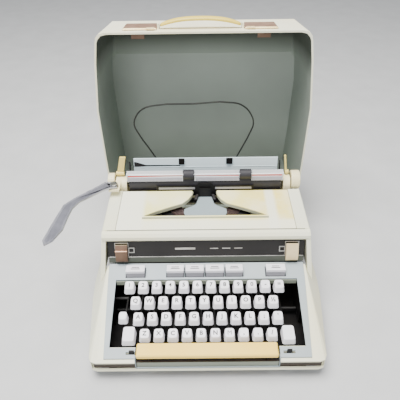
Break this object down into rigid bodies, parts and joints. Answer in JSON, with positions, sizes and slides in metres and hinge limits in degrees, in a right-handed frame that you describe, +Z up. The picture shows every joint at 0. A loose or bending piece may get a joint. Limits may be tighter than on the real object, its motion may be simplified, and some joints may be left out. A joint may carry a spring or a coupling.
{
  "type": "portable manual typewriter",
  "caption": "Portable manual typewriter in the bottom of its case, with keyboard, sliding carriage, platen, return lever, paper bail, wire paper support and an open lid with a handle.",
  "frame": {"origin": "middle of the underside of the base pan, on the symmetry plane of the machine", "axes": "+X to the typist's right, +Y away from the typist, +Z up"},
  "size_m": [0.3975, 0.4665, 0.3906],
  "materials": {
    "casing_grey_cream": "fine textured grey cream enamel",
    "cover_yellowed_cream": "smooth enamel, yellowed with age",
    "surround_silver_grey": "satin silver grey paint",
    "panel_dark_brown": "satin dark warm grey",
    "key_white": "moulded white keytops with a grey skirt",
    "space_bar_cream": "moulded cream, yellowed",
    "blackened_steel": "blackened steel",
    "bright_steel": "plain bright steel",
    "basket_alloy": "cast alloy",
    "rubber_dark": "hard dark rubber",
    "table_pale_blue": "satin pale blue grey paint",
    "shield_blue_grey": "satin blue grey paint",
    "lever_silver": "satin pressed alloy",
    "bail_strip": "pale metal strip with a red line",
    "lid_enamel": "fine textured cream enamel outside, grey green inside",
    "latch_copper": "coppery plated sheet",
    "strip_brown": "dark brown plastic",
    "knob_cream": "moulded cream plastic"
  },
  "bodies": {
    "machine": {"base_pan": "blackened_steel", "foot_front_left": "rubber_dark", "foot_front_right": "rubber_dark", "foot_rear_left": "rubber_dark", "foot_rear_right": "rubber_dark", "lower_case": "casing_grey_cream", "keyboard_surround": "surround_silver_grey", "front_strip": "strip_brown", "hood": "casing_grey_cream", "name_panel": "panel_dark_brown", "rear_panel": "casing_grey_cream", "side_frame_left": "blackened_steel", "side_frame_right": "blackened_steel", "carriage_rail": "bright_steel", "type_shield": "shield_blue_grey", "card_guide": "blackened_steel", "hinge_base": "bright_steel"},
    "carriage": {"carriage_frame": "knob_cream", "paper_table": "table_pale_blue"},
    "platen": {"platen": "rubber_dark", "platen_knob_left": "knob_cream", "platen_knob_right": "knob_cream"},
    "lid": {"lid_shell": "lid_enamel"},
    "type_basket": {"type_basket": "basket_alloy"},
    "mainspring_drum": {"mainspring_drum": "bright_steel"},
    "ribbon_spool_left": {"ribbon_spool_left": "blackened_steel"},
    "ribbon_spool_right": {"ribbon_spool_right": "blackened_steel"},
    "ribbon_vibrator": {"ribbon_vibrator": "blackened_steel"},
    "key_row_numbers": {"key_row_numbers": "key_white"},
    "key_row_upper": {"key_row_upper": "key_white"},
    "key_row_home": {"key_row_home": "key_white"},
    "key_row_lower": {"key_row_lower": "key_white"},
    "shift_keys": {"shift_keys": "key_white"},
    "shift_lock": {"shift_lock": "key_white"},
    "space_bar": {"space_bar": "space_bar_cream"},
    "panel_key_left": {"panel_key_left": "key_white"},
    "panel_key_clear": {"panel_key_clear": "key_white"},
    "panel_key_tab_set": {"panel_key_tab_set": "key_white"},
    "panel_key_margin": {"panel_key_margin": "key_white"},
    "panel_key_release": {"panel_key_release": "key_white"},
    "panel_key_right": {"panel_key_right": "key_white"},
    "ribbon_selector": {"ribbon_selector": "blackened_steel"},
    "touch_lever": {"touch_lever": "blackened_steel"},
    "panel_latch_left": {"panel_latch_left": "latch_copper"},
    "panel_latch_right": {"panel_latch_right": "latch_copper"},
    "ribbon_cover": {"ribbon_cover": "cover_yellowed_cream"},
    "margin_clip_left": {"margin_clip_left": "blackened_steel"},
    "margin_clip_right": {"margin_clip_right": "blackened_steel"},
    "paper_bail": {"paper_bail": "bail_strip"},
    "bail_roller_left": {"bail_roller_left": "rubber_dark"},
    "bail_roller_right": {"bail_roller_right": "rubber_dark"},
    "lever_hub": {"lever_hub": "bright_steel"},
    "line_space_lever": {"line_space_lever": "lever_silver"},
    "paper_release_lever": {"paper_release_lever": "knob_cream"},
    "carriage_release_lever": {"carriage_release_lever": "knob_cream"},
    "paper_support": {"paper_support": "blackened_steel"},
    "hinge_leaf": {"hinge_leaf": "bright_steel"},
    "handle": {"handle": "cover_yellowed_cream"},
    "lid_latch_left": {"lid_latch_left": "latch_copper"},
    "lid_latch_right": {"lid_latch_right": "latch_copper"}
  },
  "joints": [
    {"name": "carriage_slide", "type": "slide", "parent": "machine", "child": "carriage", "axis": [1, 0, 0], "range_m": [-0.11, 0.11]},
    {"name": "mainspring_turn", "type": "hinge", "parent": "machine", "child": "mainspring_drum", "pos_m": [-0.096, 0.098, 0.088], "axis": [0, 0, 1], "range_deg": [-330, 330]},
    {"name": "lid_tilt", "type": "hinge", "parent": "machine", "child": "hinge_leaf", "pos_m": [0, 0.1575, 0.0386], "axis": [-1, 0, 0], "range_deg": [-10, 0]},
    {"name": "lid_lift_off", "type": "slide", "parent": "hinge_leaf", "child": "lid", "axis": [0, 0, 1], "range_m": [0, 0.15]},
    {"name": "handle_swing", "type": "hinge", "parent": "lid", "child": "handle", "pos_m": [-0.0045, 0.181, 0.3722], "axis": [1, 0, 0], "range_deg": [-60, 60]},
    {"name": "ribbon_cover_open", "type": "hinge", "parent": "machine", "child": "ribbon_cover", "pos_m": [0, 0.073, 0.1399], "axis": [1, 0, 0], "range_deg": [-50, 0]},
    {"name": "line_space_swing", "type": "hinge", "parent": "carriage", "child": "lever_hub", "pos_m": [-0.145, 0.071, 0.1544], "axis": [0, 0, 1], "range_deg": [0, 20], "stiffness_Nm_per_rad": 0.3, "springref_deg": -11.46},
    {"name": "lever_fold", "type": "hinge", "parent": "lever_hub", "child": "line_space_lever", "pos_m": [-0.145, 0.071, 0.1544], "axis": [0, 0, 1], "range_deg": [0, 60]},
    {"name": "platen_turn", "type": "hinge", "parent": "carriage", "child": "platen", "pos_m": [0, 0.096, 0.148], "axis": [1, 0, 0], "continuous": true},
    {"name": "paper_bail_lift", "type": "hinge", "parent": "carriage", "child": "paper_bail", "pos_m": [0, 0.108, 0.15], "axis": [-1, 0, 0], "range_deg": [0, 35]},
    {"name": "paper_support_slide", "type": "slide", "parent": "carriage", "child": "paper_support", "axis": [0, 0, 1], "range_m": [-0.085, 0]},
    {"name": "paper_release_pull", "type": "hinge", "parent": "carriage", "child": "paper_release_lever", "pos_m": [-0.13875, 0.1, 0.161], "axis": [1, 0, 0], "range_deg": [0, 20]},
    {"name": "carriage_release_pull", "type": "hinge", "parent": "carriage", "child": "carriage_release_lever", "pos_m": [0.1325, 0.1, 0.161], "axis": [1, 0, 0], "range_deg": [0, 20], "stiffness_Nm_per_rad": 0.02, "springref_deg": -5.73},
    {"name": "press_numbers", "type": "hinge", "parent": "machine", "child": "key_row_numbers", "pos_m": [0, -0.02, 0.063], "axis": [1, 0, 0], "range_deg": [0, 10], "stiffness_Nm_per_rad": 0.5, "springref_deg": -20.05},
    {"name": "press_upper", "type": "hinge", "parent": "machine", "child": "key_row_upper", "pos_m": [0, -0.008, 0.053], "axis": [1, 0, 0], "range_deg": [0, 6.3], "stiffness_Nm_per_rad": 0.5, "springref_deg": -20.05},
    {"name": "press_home", "type": "hinge", "parent": "machine", "child": "key_row_home", "pos_m": [0, 0.004, 0.043], "axis": [1, 0, 0], "range_deg": [0, 4.6], "stiffness_Nm_per_rad": 0.5, "springref_deg": -20.05},
    {"name": "press_lower", "type": "hinge", "parent": "machine", "child": "key_row_lower", "pos_m": [0, 0.016, 0.033], "axis": [1, 0, 0], "range_deg": [0, 3.6], "stiffness_Nm_per_rad": 0.5, "springref_deg": -20.05},
    {"name": "shift_press", "type": "hinge", "parent": "machine", "child": "shift_keys", "pos_m": [0, 0.032, 0.022], "axis": [1, 0, 0], "range_deg": [0, 2.6], "stiffness_Nm_per_rad": 0.8, "springref_deg": -20.05},
    {"name": "basket_shift", "type": "slide", "parent": "machine", "child": "type_basket", "axis": [0, 0, 1], "range_m": [-0.0065, 0], "stiffness_N_per_m": 300, "springref_m": 0.02},
    {"name": "shift_lock_press", "type": "hinge", "parent": "machine", "child": "shift_lock", "pos_m": [0, -0.06, 0.04], "axis": [1, 0, 0], "range_deg": [0, 6], "stiffness_Nm_per_rad": 0.1, "springref_deg": -20.05},
    {"name": "space_bar_press", "type": "hinge", "parent": "machine", "child": "space_bar", "pos_m": [0, -0.06, 0.0146], "axis": [1, 0, 0], "range_deg": [0, 4], "stiffness_Nm_per_rad": 0.6, "springref_deg": -20.05},
    {"name": "lid_latch_left_flip", "type": "hinge", "parent": "lid", "child": "lid_latch_left", "pos_m": [-0.096, 0.213, 0.36538], "axis": [-1, 0, 0], "range_deg": [0, 60]},
    {"name": "lid_latch_right_flip", "type": "hinge", "parent": "lid", "child": "lid_latch_right", "pos_m": [0.0865, 0.213, 0.36538], "axis": [-1, 0, 0], "range_deg": [0, 60]},
    {"name": "panel_key_left_press", "type": "slide", "parent": "machine", "child": "panel_key_left", "axis": [0, 0, -1], "range_m": [0, 0.004], "stiffness_N_per_m": 60, "springref_m": -0.01},
    {"name": "panel_key_clear_press", "type": "slide", "parent": "machine", "child": "panel_key_clear", "axis": [0, 0, -1], "range_m": [0, 0.004], "stiffness_N_per_m": 60, "springref_m": -0.01},
    {"name": "panel_key_tab_set_press", "type": "slide", "parent": "machine", "child": "panel_key_tab_set", "axis": [0, 0, -1], "range_m": [0, 0.004], "stiffness_N_per_m": 60, "springref_m": -0.01},
    {"name": "panel_key_margin_press", "type": "slide", "parent": "machine", "child": "panel_key_margin", "axis": [0, 0, -1], "range_m": [0, 0.004], "stiffness_N_per_m": 60, "springref_m": -0.01},
    {"name": "panel_key_release_press", "type": "slide", "parent": "machine", "child": "panel_key_release", "axis": [0, 0, -1], "range_m": [0, 0.004], "stiffness_N_per_m": 60, "springref_m": -0.01},
    {"name": "panel_key_right_press", "type": "slide", "parent": "machine", "child": "panel_key_right", "axis": [0, 0, -1], "range_m": [0, 0.004], "stiffness_N_per_m": 60, "springref_m": -0.01},
    {"name": "ribbon_selector_slide", "type": "slide", "parent": "machine", "child": "ribbon_selector", "axis": [1, 0, 0], "range_m": [-0.004, 0.0025]},
    {"name": "touch_lever_slide", "type": "slide", "parent": "machine", "child": "touch_lever", "axis": [1, 0, 0], "range_m": [-0.004, 0.004]},
    {"name": "panel_latch_left_pull", "type": "hinge", "parent": "machine", "child": "panel_latch_left", "pos_m": [-0.125, -0.0334, 0.091], "axis": [1, 0, 0], "range_deg": [0, 12]},
    {"name": "panel_latch_right_pull", "type": "hinge", "parent": "machine", "child": "panel_latch_right", "pos_m": [0.127, -0.0334, 0.091], "axis": [1, 0, 0], "range_deg": [0, 12]},
    {"name": "ribbon_spool_left_turn", "type": "hinge", "parent": "machine", "child": "ribbon_spool_left", "pos_m": [-0.108, 0.044, 0.118], "axis": [0, 0, 1], "continuous": true},
    {"name": "ribbon_spool_right_turn", "type": "hinge", "parent": "machine", "child": "ribbon_spool_right", "pos_m": [0.108, 0.044, 0.118], "axis": [0, 0, 1], "continuous": true},
    {"name": "ribbon_lift", "type": "slide", "parent": "machine", "child": "ribbon_vibrator", "axis": [0, 0, 1], "range_m": [0, 0.008]},
    {"name": "bail_roller_left_turn", "type": "hinge", "parent": "paper_bail", "child": "bail_roller_left", "pos_m": [0, 0.0825, 0.1684], "axis": [1, 0, 0], "continuous": true},
    {"name": "bail_roller_right_turn", "type": "hinge", "parent": "paper_bail", "child": "bail_roller_right", "pos_m": [0, 0.0825, 0.1684], "axis": [1, 0, 0], "continuous": true},
    {"name": "margin_clip_left_slide", "type": "slide", "parent": "carriage", "child": "margin_clip_left", "axis": [1, 0, 0], "range_m": [-0.03, 0.03]},
    {"name": "margin_clip_right_slide", "type": "slide", "parent": "carriage", "child": "margin_clip_right", "axis": [1, 0, 0], "range_m": [-0.03, 0.03]}
  ],
  "couplings": [
    {"joint": "basket_shift", "follows": "shift_press", "m_per_rad": -0.13222},
    {"joint": "mainspring_turn", "follows": "carriage_slide", "rad_per_m": 50},
    {"joint": "ribbon_spool_right_turn", "follows": "ribbon_spool_left_turn", "ratio": 1}
  ]
}
